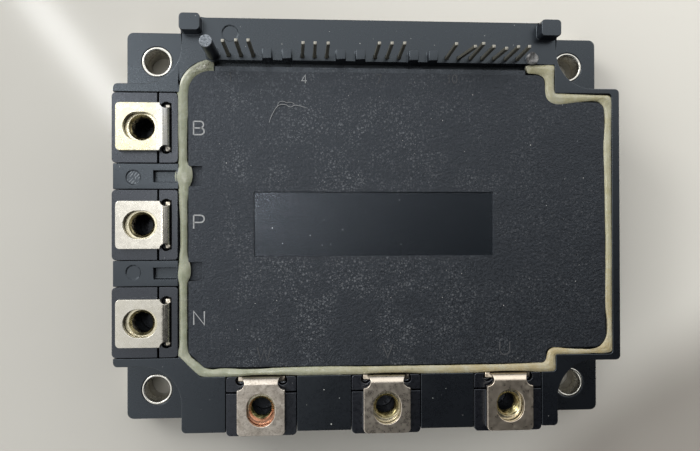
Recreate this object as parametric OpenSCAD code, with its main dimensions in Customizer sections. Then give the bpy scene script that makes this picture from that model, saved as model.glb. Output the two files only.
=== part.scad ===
// Power semiconductor module: metal base plate, moulded case with four ears,
// six screw terminals with captive nuts, a row of control pins, and the
// substrates, chips, board and gel that the case holds.
// Origin: centre of the mounting-hole rectangle on the underside of the base.

/* [Base plate] */
// Length of the base plate along X
base_l = 110; // [109.5:0.5:114]
// Width of the base plate along Y
base_w = 89; // [88.5:0.5:92]
// Thickness of the base plate
base_t = 3.5; // [3:0.1:3.6]
// Corner radius of the base plate
base_r = 5; // [1:0.5:6]
// Mounting-hole distance along X
hole_dx = 95; // [95:0.1:95.2]
// Mounting-hole distance along Y
hole_dy = 74; // [74:0.1:74.2]
// Diameter of the mounting holes
hole_d = 5.5; // [4.5:0.1:5.8]

/* [Case] */
// Half length of the case walls along X
case_x = 53.4; // [53:0.1:54]
// Half width of the case walls along Y
case_y = 42.9; // [42.6:0.1:43.4]
// Height of the case rim above the mounting face
case_top = 21.5; // [21.3:0.1:22]
// Height of the ears above the mounting face
ear_top = 7.8; // [6.5:0.1:8.5]
// Radius of the case wall round each mounting hole
ear_clear_r = 7.9; // [7.5:0.1:8]
// Height of the two corner posts above the rim
post_h = 3; // [1:0.5:5]
// Outside diameter of the metal bushes in the ears
bush_d = 6.9; // [6.5:0.1:7.4]

/* [Cover] */
// Thickness of the cover
cover_t = 2.4; // [1.8:0.1:2.6]
// Depth of the smooth field in the cover
field_depth = 0.12; // [0.05:0.01:0.4]

/* [Main terminals] */
// Distance between the holes of the three left terminals
pitch_left = 20; // [19.8:0.1:20.2]
// Distance between the holes of the three front terminals
pitch_front = 26; // [25.5:0.1:26.5]
// Thickness of the terminal strip
term_t = 1.1; // [0.8:0.1:1.2]
// Width of the terminal plate
term_w = 9.8; // [9:0.1:10]
// Height of the terminal plates' upper face
term_top = 23.3; // [23.2:0.1:23.6]
// Width of the slot in a terminal plate
slot_w = 5.7; // [5.3:0.1:6]
// Length of the slot in a terminal plate
slot_l = 6.8; // [6.2:0.1:7]
// Wall diameter of the thread in the captive nuts
nut_bore = 4.2; // [4:0.05:4.4]

/* [Control pins] */
// Pitch of the control pins
pin_pitch = 2.54; // [2.5:0.01:2.54]
// Side of a square control pin
pin_s = 0.64; // [0.5:0.02:0.7]
// Height of the pin tips above the mounting face
pin_top = 31.6; // [29:0.1:33]
// Diameter of the guide post
guide_d = 2.5; // [2:0.1:2.6]

/* [Hidden] */
$fn = 48;
e = 0.01;

hx = hole_dx / 2;
hy = hole_dy / 2;
ear_x = 54.15;      // outer faces of the ears
ear_y = 43.55;
wall_x = hx - ear_clear_r;   // side of the case beside an ear
wall_y = hy - ear_clear_r;
shelf_z = case_top - 0.1 - cover_t;  // the cover rests here
front_y = 34.15;    // front face of the pin ledge

left_x = -47.5;     // hole line of the left terminals
front_hy = -38;     // hole line of the front terminals
front_cx = 2.75;    // middle front terminal
lefts = [pitch_left, 0, -pitch_left];
fronts = [front_cx - pitch_front, front_cx, front_cx + pitch_front];
pocket_z = 9.2;     // floor of the terminal pockets
block_w = 14.5;     // width of a terminal block
split = 3.25;       // from the hole to the joint between holder and block

pin_x0 = -29.9;     // first control pin
pin_y = 35.2;
board_z = 14;
board_t = 1.6;
// places of the sixteen pins, in pitches from the first
pin_at = [0, 1, 2, 6, 7, 8, 12, 13, 14, 18, 19, 20, 21, 22, 23, 24];
// how far each pin leans, in degrees to the right and to the back
lean = [[0, 0.5], [0, 1.4], [-1.2, 1.5], [1.2, -0.5], [0, -0.5], [0, -0.5], [-1, 0.5], [-1.3, 0.8],
        [-1.6, 1], [-1, 1.2], [6.2, -1.4], [1, 2], [-1.8, -1], [-1.8, -3], [-2.6, -1], [-4.4, -0.5]];

// layer heights on the base plate
z_cu0 = base_t + 0.15;
z_cer = z_cu0 + 0.3;
z_cu1 = z_cer + 0.65;
z_chip = z_cu1 + 0.3;
tile_w = 24;
tile_l = 36;
tile_y = -6.6;
brake_x = front_cx - pitch_front;
brake_y = 19.5;
brake_l = 15;

// ---- outlines ----------------------------------------------------------
function arc(cx, cy, r, a0, a1, n = 6) =
    [for (i = [0:n]) let (a = a0 + (a1 - a0) * i / n) [cx + r * cos(a), cy + r * sin(a)]];
function rrect(x0, y0, x1, y1, r, n = 6) = concat(
    arc(x1 - r, y0 + r, r, -90, 0, n), arc(x1 - r, y1 - r, r, 0, 90, n),
    arc(x0 + r, y1 - r, r, 90, 180, n), arc(x0 + r, y0 + r, r, 180, 270, n));

// rectangle with its corners cut off
function cut_rect(x0, y0, x1, y1, c) = [[x1 - c, y0], [x1, y0 + c], [x1, y1 - c], [x1 - c, y1],
    [x0 + c, y1], [x0, y1 - c], [x0, y0 + c], [x0 + c, y0]];

// walls of the case, with a round bay for the screw head at each ear
function case_outline(r = 0.9, c = ear_clear_r, n = 16) = concat(
    arc(wall_x - r, -case_y + r, r, -90, 0), arc(hx, -hy, c, 180, 90, n),
    arc(case_x - r, -wall_y + r, r, -90, 0), arc(case_x - r, wall_y - r, r, 0, 90),
    arc(hx, hy, c, 270, 180, n), arc(wall_x - r, case_y - r, r, 0, 90),
    arc(-wall_x + r, case_y - r, r, 90, 180), arc(-hx, hy, c, 0, -90, n),
    arc(-case_x + r, wall_y - r, r, 90, 180), arc(-case_x + r, -wall_y + r, r, 180, 270),
    arc(-hx, -hy, c, 90, 0, n), arc(-wall_x + r, -case_y + r, r, 180, 270));

// mouth of the case above the shelf
mouth = concat(arc(38.5, -30.7, 0.7, -90, 0, 4), [[39.2, -27.8]],
    arc(51, -27.1, 0.7, -90, 0, 4), arc(51, 27.3, 0.7, 0, 90, 4), [[39.2, 28]],
    [[39.2, front_y]], arc(-33.2, front_y - 7, 7, 90, 180, 14), [[-40.2, -26.9], [-35.7, -31.4]]);
// inner walls below the shelf
well = concat([[36.2, -28.4], [36.2, -24.8], [48.7, -24.8], [48.7, 25], [36.2, 25], [36.2, 31.1]],
    arc(-33.2, 27.1, 4, 90, 180, 10), [[-37.2, -25.4], [-34.2, -28.4]]);
// the cover's edge
rim = concat(arc(36.1, -28.5, 1, -90, 0, 4), arc(38.4, -27.6, 1.3, 180, 90, 4),
    arc(47.6, -23.7, 2.6, -90, 0, 8), arc(48.3, 24.4, 1.8, 0, 90, 6),
    arc(39.9, 29, 2.8, 270, 180, 8), arc(35.2, 30, 1.9, 0, 90, 6), [[33, 31.9], [33, 33], [-32.9, 33], [-32.9, 31.9]],
    arc(-33.7, 27.4, 4.5, 90, 180, 10), [[-38.2, -26.3], [-35, -29.5]]);

// ---- base ----------------------------------------------------------------
module at_holes() { for (x = [-hx, hx], y = [-hy, hy]) translate([x, y, 0]) children(); }

module base_plate() {
    color("silver") difference() {
        linear_extrude(base_t) polygon(rrect(-base_l / 2, -base_w / 2, base_l / 2, base_w / 2, base_r, 10));
        at_holes() translate([0, 0, -1]) cylinder(h = base_t + 2, d = hole_d);
    }
}

module sealant_shape(h) {
    linear_extrude(h) difference() {
        polygon(cut_rect(-46, -36.6, 51.6, 35.2, 9.5));
        polygon(cut_rect(-44.4, -35, 50, 33.6, 8.8));
    }
}
module base_sealant() { color("whitesmoke") translate([0, 0, base_t]) sealant_shape(0.3); }

module mounting_bushes() {
    color("lightgray") at_holes() difference() {
        translate([0, 0, base_t]) cylinder(h = ear_top - base_t, d = bush_d);
        translate([0, 0, base_t - 1]) cylinder(h = ear_top, d = hole_d);
    }
}

// ---- case ----------------------------------------------------------------
module box(a, b) { translate(a) cube([b[0] - a[0], b[1] - a[1], b[2] - a[2]]); }

// pocket for a terminal's block, nut holder and leg, hole at the origin, leg to +x
module pocket(outer, inner, duct) {
    box([-outer - 2, -block_w / 2 - 0.1, pocket_z], [inner, block_w / 2 + 0.1, case_top + 1]);
    box([duct[0], -5.1, base_t - 1], [duct[1], 5.1, pocket_z + e]);
}
module at_left() { for (y = lefts) translate([left_x, y, 0]) children(); }
module at_front() { for (x = fronts) translate([x, front_hy, 0]) rotate([0, 0, 90]) children(); }

module pin_slots() {
    for (i = pin_at) translate([pin_x0 + pin_pitch * i, pin_y, 0]) {
        translate([-pin_s / 2, -pin_s / 2, board_z + board_t]) cube([pin_s, pin_s, 10]);
        translate([-pin_s / 2, -5, board_z + board_t]) cube([pin_s, 5 + pin_s / 2, pin_s]);
    }
}

// blocks that stand on the ledge between the pin groups, their fronts flush with the ledge
module ledge_blocks() {
    for (g = [4, 10, 16], s = [-1, 1])
        translate([pin_x0 + pin_pitch * g + s * 2.05 - 1.15, 33, case_top - 1]) cube([2, 3.3, 2.8]);
}

module case_frame() {
    color("#2b2f38") difference() {
        union() {
            // low slab with the four ears
            translate([0, 0, base_t]) linear_extrude(ear_top - base_t)
                polygon(rrect(-ear_x, -ear_y, ear_x, ear_y, 1.4));
            // walls
            translate([0, 0, base_t]) linear_extrude(case_top - base_t) polygon(case_outline());
            // corner posts
            for (s = [-1, 1]) translate([s * 37.45, 41.15, case_top - 1]) linear_extrude(post_h + 1)
                polygon(rrect(-2.1, -1.75, 2.1, 1.75, 0.8));
            // guide post, and the stump of its broken twin
            translate([-33.13, pin_y, case_top - 1]) cylinder(h = pin_top - case_top + 1, d = guide_d);
            translate([-33.13, pin_y, case_top - 1]) cylinder(h = 1.15, d = guide_d + 0.5);
            translate([34.2, pin_y + 0.1, case_top - 1]) cylinder(h = 1.5, d = guide_d);
            ledge_blocks();
        }
        // room inside and mouth for the cover
        translate([0, 0, base_t - 1]) linear_extrude(case_top) polygon(well);
        translate([0, 0, shelf_z]) linear_extrude(8) difference() {
            polygon(mouth);
            translate([-33.13, pin_y]) circle(d = guide_d + 0.5);
        }
        // holes for the bushes
        at_holes() translate([0, 0, base_t - 1]) cylinder(h = ear_top, d = bush_d);
        // terminal pockets
        at_left() pocket(6.2, 7.3, [4.4, 10.4]);
        at_front() pocket(5.7, 6.6, [5.3, 9.7]);
        // groove for the sealant
        translate([0, 0, base_t - 1]) sealant_shape(1.3);
        // cores under the ledge
        for (x = [-24.6, 0, 24.6]) box([x - 11.2, 37.2, base_t - 1], [x + 11.2, 41, case_top - 2]);
        pin_slots();
        // latch slots and moulding marks
        for (s = [-1, 1]) {
            box([-45.2, s * 10 - 1.15, case_top - 1.6], [-40.6, s * 10 + 1.15, case_top + 1]);
            translate([-49.3, s * 9.75, case_top - 0.15]) cylinder(h = 1, d = 2.9);
        }
        translate([-29.6, 39.7, case_top - 0.2]) cylinder(h = 1, d = 3.3);
    }
    // ribs that carry the board
    color("#2b2f38") for (b = [[-37.25, 22.4, -34.4, 25.4], [-37.25, -25, -34.4, -22.6], [46, 21, 48.75, 24], [46, -24, 48.75, -21]])
        box([b[0], b[1], 9.6], [b[2], b[3], board_z]);
}

// ---- cover and bead ------------------------------------------------------
module cover() {
    color("#24262c") difference() {
        translate([0, 0, shelf_z]) linear_extrude(cover_t) polygon(rim);
        // low strip along the pin ledge
        box([-34, 31.9, case_top - 0.5], [34, 34, case_top + 1]);
        // smooth field
        box([-24.7, -6.6, case_top - 0.1 - field_depth], [25.7, 6.8, case_top + 1]);
        // notches beside the latch slots
        box([-39, 8, case_top - 1.2], [-35.4, 12.1, case_top + 1]);
        box([-39, -11.6, case_top - 1.2], [-35.4, -7.7, case_top + 1]);
    }
}

module adhesive_bead() {
    color("#d9d3ae") translate([0, 0, case_top - 1.9]) linear_extrude(1.85) difference() {
        polygon(mouth);
        polygon(rim);
        translate([-33.1, 31.5]) square([66.2, 4]);
        translate([-33.13, pin_y]) circle(d = guide_d + 0.54);
    }
}

// ---- main terminals ------------------------------------------------------
// hole at the origin, plate's outer end at -outer, outer face of the leg at +inner
module terminal_top(outer, inner, z_low, notch) {
    ri = 0.3;
    ro = ri + term_t;
    zb = term_top - ro;      // centre of the bend
    neck = term_w / 2 - 0.7;
    difference() {
        union() {
            translate([0, 0, term_top - term_t]) linear_extrude(term_t)
                polygon(concat([[inner - ro, -term_w / 2], [inner - ro, term_w / 2]],
                    arc(-outer + 0.9, term_w / 2 - 0.9, 0.9, 90, 180), arc(-outer + 0.9, -term_w / 2 + 0.9, 0.9, 180, 270)));
            // bend and neck
            translate([inner - ro, neck, zb]) rotate([90, 0, 0]) intersection() {
                difference() { cylinder(h = 2 * neck, r = ro); translate([0, 0, -1]) cylinder(h = 2 * neck + 2, r = ri); }
                cube([ro + 1, ro + 1, 2 * neck]);
            }
            box([inner - term_t, -neck, zb - 0.6], [inner, neck, zb]);
            // leg
            box([inner - term_t, -term_w / 2, z_low], [inner, term_w / 2, zb - 0.6]);
        }
        // slot for the screw
        translate([0, 0, term_top - 3]) linear_extrude(5) union() {
            for (s = [-1, 1]) translate([s * (slot_l - slot_w) / 2, 0]) circle(d = slot_w);
            square([slot_l - slot_w, slot_w], center = true);
        }
        // relief notches at the bend
        for (s = [-1, 1]) translate([notch[0], s * notch[1], zb - 0.6]) cylinder(h = 4, r = notch[2]);
    }
}
// a terminal whose leg ends in a foot on the copper
left_leg = 5.7;                   // outer face of a left leg
left_notch = [5, 4.9, 1.05];      // centre and radius of the relief notch
front_notch = [5.5, 4.85, 1.4];
module terminal_foot(outer, inner, reach, notch) {
    union() {
        terminal_top(outer, inner, z_chip, notch);
        box([inner - term_t, -term_w / 2, z_chip], [reach, term_w / 2, z_chip + 1]);
    }
}
module terminal_b() { color("#cfc8b8") translate([left_x, lefts[0], 0]) terminal_foot(4.95, left_leg, 15.4, left_notch); }
module terminal_w() { color("#b5ada0") translate([fronts[0], front_hy, 0]) rotate([0, 0, 90]) terminal_foot(5.2, 6.55, 17, front_notch); }
module terminal_v() { color("#b5ada0") translate([fronts[1], front_hy, 0]) rotate([0, 0, 90]) terminal_foot(5.2, 6.55, 17, front_notch); }
module terminal_u() { color("#b5ada0") translate([fronts[2], front_hy, 0]) rotate([0, 0, 90]) terminal_foot(5.2, 6.55, 17, front_notch); }

bar_z = 8;
// bar over the three tiles, with a foot on each
module bar(y0, y1, x0, foot_x, foot_y) {
    box([x0, y0, bar_z], [fronts[2] + foot_x + 1, y1, bar_z + 1]);
    for (x = fronts) box([x + foot_x - 1, foot_y - 1.2, z_chip], [x + foot_x + 1, foot_y + 1.2, bar_z + e]);
}
module terminal_p() {
    color("#cfc8b8") union() {
        translate([left_x, 0, 0]) terminal_top(4.95, left_leg, bar_z, left_notch);
        box([left_x + left_leg - term_t, -3, bar_z], [-36, 1, bar_z + 1]);
        bar(-3, 1, -37, 9.5, -1);
    }
}
module terminal_n() {
    color("#cfc8b8") union() {
        translate([left_x, lefts[2], 0]) terminal_top(4.95, left_leg, bar_z, left_notch);
        box([left_x + left_leg - term_t, lefts[2] - 2, bar_z], [-34.2, lefts[2] + 2, bar_z + 1]);
        box([-37, lefts[2] - 2, bar_z], [-34.2, -5, bar_z + 1]);
        bar(-8.2, -4.2, -37, 9.5, -5.4);
    }
}

nut_top = 21.8;
module nut() {
    difference() {
        translate([0, 0, nut_top - 4]) rotate([0, 0, 30]) cylinder(h = 4, d = 8 / cos(30), $fn = 6);
        translate([0, 0, nut_top - 5]) cylinder(h = 6, d = nut_bore);
        translate([0, 0, nut_top - 0.55]) cylinder(h = 0.6, d1 = nut_bore, d2 = nut_bore + 1.2);
        translate([0, 0, nut_top - 4.05]) cylinder(h = 0.6, d1 = nut_bore + 1.2, d2 = nut_bore);
    }
}
module terminal_nuts() {
    color("#b39a5a") { at_left() nut(); at_front() nut(); }
}

module nut_room() { translate([0, 0, nut_top - 4.05]) rotate([0, 0, 30]) cylinder(h = 8, d = 8.2 / cos(30), $fn = 6); }

// moulded holder under a terminal plate, slid in from outside
module nut_holder(outer) {
    difference() {
        union() {
            translate([0, 0, pocket_z + 0.1]) linear_extrude(case_top - pocket_z - 0.1)
                polygon(concat([[split - 0.15, -block_w / 2], [split - 0.15, block_w / 2]],
                    arc(-outer + 0.9, block_w / 2 - 0.9, 0.9, 90, 180), arc(-outer + 0.9, -block_w / 2 + 0.9, 0.9, 180, 270)));
            // pad that carries the plate
            box([-4.6, -4.85, case_top - 1], [split - 0.15, 4.85, term_top - term_t]);
        }
        nut_room();
        translate([0, 0, pocket_z + 1.5]) cylinder(h = 12, d = 5.8);
    }
}
module nut_holders() {
    color("#30343c") { at_left() nut_holder(6.15); at_front() nut_holder(5.7); }
}

// inner block with the slot that the leg passes through
module inner_block(inner, leg, open) {
    difference() {
        translate([0, 0, pocket_z + 0.1]) linear_extrude(case_top - pocket_z - 0.1)
            polygon(concat([[split + 0.15, block_w / 2], [split + 0.15, -block_w / 2]],
                arc(inner - 0.7, -block_w / 2 + 0.7, 0.7, 270, 360, 4), arc(inner - 0.7, block_w / 2 - 0.7, 0.7, 0, 90, 4)));
        box([leg - term_t - 0.15, -5.05, pocket_z], [leg + open, 5.05, case_top + 1]);
        nut_room();
        // hollows under the relief notches
        for (s = [-1, 1]) translate([leg - 0.85, s * 4.35, case_top - 1.4]) cylinder(h = 3, r = 0.95);
    }
}
module terminal_blocks() {
    color("#30343c") { at_left() inner_block(7.25, left_leg, 0.2); at_front() inner_block(6.55, 6.55, 2); }
}

// ---- control pins --------------------------------------------------------
module pin(i) {
    translate([pin_x0 + pin_pitch * pin_at[i], pin_y, 0]) {
        // tail on the board
        translate([-pin_s / 2, -6.6, board_z + board_t]) cube([pin_s, 6.6 + pin_s / 2, pin_s]);
        translate([-pin_s / 2, -pin_s / 2, board_z + board_t]) cube([pin_s, pin_s, case_top - board_z - board_t]);
        // free end, leaning as it has been bent
        translate([0, 0, case_top]) rotate([-lean[i][1], lean[i][0], 0])
            translate([-pin_s / 2, -pin_s / 2, -0.02]) cube([pin_s, pin_s, pin_top - case_top]);
    }
}
module pins(a, b) { color("#b9b2a4") for (i = [a:b]) union() pin(i); }
module control_pins_1() { pins(0, 2); }
module control_pins_2() { pins(3, 5); }
module control_pins_3() { pins(6, 8); }
module control_pins_4() { pins(9, 15); }

// ---- board ---------------------------------------------------------------
module control_board() {
    color("#2f6b45") difference() {
        translate([0, 0, board_z]) linear_extrude(board_t) union() {
            translate([-36.8, -24.4]) square([85.1, 49]);
            translate([-33, -28]) square([69, 58.8]);
        }
        at_links() translate([0, 0, board_z - 1]) cylinder(h = 4, d = 1);
    }
}
module ic(x, y, l, w, h, n) {
    translate([x, y, board_z + board_t]) {
        translate([-l / 2, -w / 2, 0.2]) cube([l, w, h]);
        for (k = [0:n - 1], s = [-1, 1]) translate([-l / 2 + (k + 0.5) * l / n - 0.25, s * (w / 2 + 0.5) - 0.5, 0])
            cube([0.5, 1, 0.6]);
    }
}
module driver_ics() {
    color("#1c1c1f") {
        for (i = [0:2]) ic(-21.4 + 15.24 * i, 21.5, 10, 6.4, 2, 7);
        ic(26.5, 20, 14, 7.6, 2.2, 10);
        for (i = [0:2]) ic(-23.6 + 15.24 * i, 12, 6, 4.4, 2.2, 2);
    }
}
module board_parts() {
    color("#b58c56") {
        for (i = [0:2], j = [0:3]) translate([-31.5 + 15.24 * i + 2.6 * j, 0.5, board_z + board_t]) cube([1.6, 0.9, 0.6]);
        for (i = [0:4]) translate([14 + 4.4 * i, 10, board_z + board_t]) cube([3.2, 1.7, 1.3]);
        for (i = [0:3]) translate([-20 + 14 * i, -14, board_z + board_t]) cube([5, 4, 2.2]);
    }
}

// ---- power stage -----------------------------------------------------------
module at_tiles() { for (x = fronts) translate([x, tile_y, 0]) children(); }
module at_brake() { translate([brake_x, brake_y, 0]) children(); }
module slab(z, h, w, l) { translate([-w / 2, -l / 2, z]) cube([w, l, h]); }

module substrate_solder() { color("gray") { at_tiles() slab(base_t, 0.15, 22, 34); at_brake() slab(base_t, 0.15, 22, 13); } }
module back_copper() { color("#b87333") { at_tiles() slab(z_cu0, 0.3, 22, 34); at_brake() slab(z_cu0, 0.3, 22, 13); } }
module ceramic_tiles() { color("white") { at_tiles() slab(z_cer, 0.65, tile_w, tile_l); at_brake() slab(z_cer, 0.65, tile_w, brake_l); } }
module copper_tracks() {
    color("#c27a45") {
        at_tiles() {
            box([-9.2, 4, z_cu1], [11, 17, z_chip]);
            box([-9.2, -0.3, z_cu1], [11, 3.2, z_chip]);
            box([-9.2, -17, z_cu1], [11, -1.2, z_chip]);
            for (y = [14, 11, -4, -7]) box([-11.2, y - 1, z_cu1], [-9.6, y + 1, z_chip]);
        }
        at_brake() {
            box([-11, -6.5, z_cu1], [2, 6.5, z_chip]);
            box([2.8, -6.5, z_cu1], [8.8, 6.5, z_chip]);
            for (y = [3, 0]) box([9.4, y - 1, z_cu1], [11.2, y + 1, z_chip]);
        }
    }
}
module igbt_chips() {
    color("#8f949c") {
        at_tiles() for (y = [10.5, -7]) translate([-4.4, y, 0]) slab(z_chip, 0.35, 8, 8);
        at_brake() translate([-5, 0, 0]) slab(z_chip, 0.35, 6, 6);
    }
}
module diode_chips() {
    color("#9aa0a8") {
        at_tiles() for (y = [10.5, -7]) translate([5, y, 0]) slab(z_chip, 0.3, 5.5, 5.5);
        at_brake() translate([5.8, 0, 0]) slab(z_chip, 0.3, 4.4, 4.4);
    }
}
module temp_sensor() { color("#d8cfc0") translate([fronts[1], 14, base_t]) slab(0, 1.1, 3.2, 1.8); }

// one wire: a shallow arch along y from the chip at y0 (height z0) to the copper at y1,
// cut flat where it meets them
module wire(x, y0, y1, z0, rise) {
    c = abs(y1 - y0) / 2;
    r = (c * c + rise * rise) / (2 * rise);
    m = (y0 + y1) / 2;
    s = y1 > y0 ? 1 : -1;
    intersection() {
        translate([x, m, z0 + rise - r]) rotate([90, 0, 90]) rotate_extrude() translate([r, 0]) circle(r = 0.15, $fn = 24);
        union() {
            translate([x - 0.5, m - (s + 1) / 2 * 20, z0]) cube([1, 20, 9]);
            translate([x - 0.5, m - (1 - s) / 2 * 20, z_chip]) cube([1, 20, 9]);
        }
    }
}
module bond_wires() {
    color("#d7d9dc") at_tiles() {
        for (k = [0:3]) wire(-7 + 1.7 * k, 8.5, -2.4, z_chip + 0.35, 1.9);
        for (k = [0:3]) wire(-6.15 + 1.7 * k, -5, 1.2, z_chip + 0.35, 1.3);
        for (k = [0:2]) wire(3.6 + 1.4 * k, 9.5, -2.4, z_chip + 0.3, 1.9);
        for (k = [0:2]) wire(4.3 + 1.4 * k, -6, 1.2, z_chip + 0.3, 1.3);
    }
}
module at_links() {
    for (x = fronts, y = [14, 11, -4, -7]) translate([x - 10.4, tile_y + y, 0]) children();
    for (y = [3, 0]) translate([brake_x + 10.3, brake_y + y, 0]) children();
}
module link_pins() { color("#c9c2b0") at_links() translate([0, 0, z_chip]) cylinder(h = board_z + board_t + 0.6 - z_chip, d = 0.7, $fn = 24); }

// gel over the power stage, below the board
module gel_fill() {
    color([0.85, 0.87, 0.85, 0.5]) difference() {
        translate([0, 0, base_t]) linear_extrude(8.4) polygon([[36.1, -28.3], [36.1, -24.7], [48.6, -24.7], [48.6, 24.9],
            [36.1, 24.9], [36.1, 31], [-34, 31], [-37.1, 27.7], [-37.1, -25.3], [-34.1, -28.3]]);
        at_tiles() slab(0, z_chip + 2.6, tile_w + 0.1, tile_l + 0.1);
        at_brake() slab(0, z_chip + 2.6, tile_w + 0.1, brake_l + 0.1);
        translate([fronts[1], 14, 0]) slab(0, 5, 3.4, 2);
        // room for the bars and feet
        box([-38, -3.1, bar_z - 0.1], [fronts[2] + 10.6, 1.1, bar_z + 1.1]);
        box([-38, -8.3, bar_z - 0.1], [fronts[2] + 10.6, -4.1, bar_z + 1.1]);
        box([-38, lefts[2] - 2.1, bar_z - 0.1], [-34.1, -4.1, bar_z + 1.1]);
        for (x = fronts) {
            box([x + 8.4, -2.3, 0], [x + 10.6, 0.3, bar_z]);
            box([x + 8.4, -6.7, 0], [x + 10.6, -4.1, bar_z]);
            box([x - 5, -29, 0], [x + 5, -20, z_chip + 1.1]);
        }
        box([-38, lefts[0] - 5, 0], [-32, lefts[0] + 5, z_chip + 1.1]);
        for (b = [[-37.3, 22.3, -34.3, 25.5], [-37.3, -25.1, -34.3, -22.5], [45.9, 20.9, 48.8, 24.1], [45.9, -24.1, 48.8, -20.9]])
            box([b[0], b[1], 9.5], [b[2], b[3], board_z]);
        at_links() cylinder(h = 20, d = 0.8, $fn = 24);
    }
}

base_plate();
base_sealant();
case_frame();
mounting_bushes();
cover();
adhesive_bead();
terminal_b();
terminal_p();
terminal_n();
terminal_w();
terminal_v();
terminal_u();
terminal_nuts();
nut_holders();
terminal_blocks();
control_pins_1();
control_pins_2();
control_pins_3();
control_pins_4();
control_board();
driver_ics();
board_parts();
link_pins();
substrate_solder();
back_copper();
ceramic_tiles();
copper_tracks();
igbt_chips();
diode_chips();
temp_sensor();
bond_wires();
gel_fill();
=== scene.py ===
import math
import random

import bpy
import bmesh
from mathutils import Matrix, Vector, noise


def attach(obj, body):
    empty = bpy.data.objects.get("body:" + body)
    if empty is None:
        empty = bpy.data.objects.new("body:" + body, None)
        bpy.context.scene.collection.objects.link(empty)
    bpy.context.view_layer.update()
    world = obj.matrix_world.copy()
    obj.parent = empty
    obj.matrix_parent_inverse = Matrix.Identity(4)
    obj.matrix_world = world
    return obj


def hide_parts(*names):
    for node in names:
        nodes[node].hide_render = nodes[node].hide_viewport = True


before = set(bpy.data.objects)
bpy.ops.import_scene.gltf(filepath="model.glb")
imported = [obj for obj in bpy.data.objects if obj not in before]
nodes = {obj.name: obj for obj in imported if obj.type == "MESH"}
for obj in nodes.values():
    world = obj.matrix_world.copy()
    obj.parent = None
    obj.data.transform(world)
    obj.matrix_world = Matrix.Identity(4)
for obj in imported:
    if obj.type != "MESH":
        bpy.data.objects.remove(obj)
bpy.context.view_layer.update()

MM = 0.001
scene = bpy.context.scene


# ---------------------------------------------------------------- camera
def make_camera():
    data = bpy.data.cameras.new("camera")
    data.sensor_width = 36.0
    data.lens = 33.738
    data.clip_start = 0.005
    data.clip_end = 20.0
    cam = bpy.data.objects.new("camera", data)
    scene.collection.objects.link(cam)
    right = Vector((0.99782511, -0.00237685, 0.06587418))
    up = Vector((0.00194287, 0.99997599, 0.00665133))
    back = Vector((-0.0658884, -0.00650888, 0.99780577))
    m = Matrix((right, up, back)).transposed().to_4x4()
    m.translation = Vector((-0.013832, -0.001087, 0.158503))
    cam.matrix_world = m
    scene.camera = cam


make_camera()


# ---------------------------------------------------------------- mesh help
def to_object(bm, name, smooth=True, sharp=38.0, weighted=True):
    me = bpy.data.meshes.new(name)
    bm.to_mesh(me)
    bm.free()
    ob = bpy.data.objects.new(name, me)
    scene.collection.objects.link(ob)
    if smooth:
        me.polygons.foreach_set("use_smooth", [True] * len(me.polygons))
        me.set_sharp_from_angle(angle=math.radians(sharp))
        if weighted:
            wn = ob.modifiers.new("normals", "WEIGHTED_NORMAL")
            wn.mode = "FACE_AREA"
            wn.weight = 60
            wn.keep_sharp = True
    return ob


def cad_copy(node, weld=0.002):
    """The CAD node's mesh, welded, with flat areas joined, ready for bevels."""
    bm = bmesh.new()
    bm.from_mesh(nodes[node].data)
    bmesh.ops.remove_doubles(bm, verts=bm.verts, dist=weld * MM)
    bmesh.ops.dissolve_limit(bm, angle_limit=math.radians(0.6), verts=bm.verts, edges=bm.edges)
    return bm


def soften(bm, width, segments=2, angle=30.0, pick=None):
    edges = []
    for e in bm.edges:
        if len(e.link_faces) != 2 or e.calc_length() < 0.04 * MM:
            continue
        if e.calc_face_angle(0.0) < math.radians(angle):
            continue
        if pick is not None and not pick(e):
            continue
        edges.append(e)
    bmesh.ops.bevel(bm, geom=edges, offset=width * MM, offset_type="OFFSET", segments=segments,
                    profile=0.5, affect="EDGES", clamp_overlap=False, loop_slide=True)


def grid_mesh(rows, name, close_u=False, close_v=False, caps=False):
    """A mesh from a list of rows of points in mm."""
    bm = bmesh.new()
    vs = [[bm.verts.new((p[0] * MM, p[1] * MM, p[2] * MM)) for p in r] for r in rows]
    nr, nc = len(vs), len(vs[0])
    for i in range(nr if close_u else nr - 1):
        for j in range(nc if close_v else nc - 1):
            a, b = vs[i][j], vs[i][(j + 1) % nc]
            c, d = vs[(i + 1) % nr][(j + 1) % nc], vs[(i + 1) % nr][j]
            if len({a, b, c, d}) == 4:
                bm.faces.new((a, b, c, d))
    if caps:
        bm.faces.new(list(reversed(vs[0])))
        bm.faces.new(vs[-1])
    bmesh.ops.recalc_face_normals(bm, faces=bm.faces)
    return bm


def lathe(profile, cx, cy, n=72):
    """Rows round a vertical axis from (r, z) points in mm."""
    rows = []
    for k in range(n):
        a = 2 * math.pi * k / n
        rows.append([(cx + r * math.cos(a), cy + r * math.sin(a), z) for r, z in profile])
    return rows


def join(bms):
    out = bmesh.new()
    for b in bms:
        me = bpy.data.meshes.new("tmp")
        b.to_mesh(me)
        b.free()
        out.from_mesh(me)
        bpy.data.meshes.remove(me)
    return out


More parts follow.
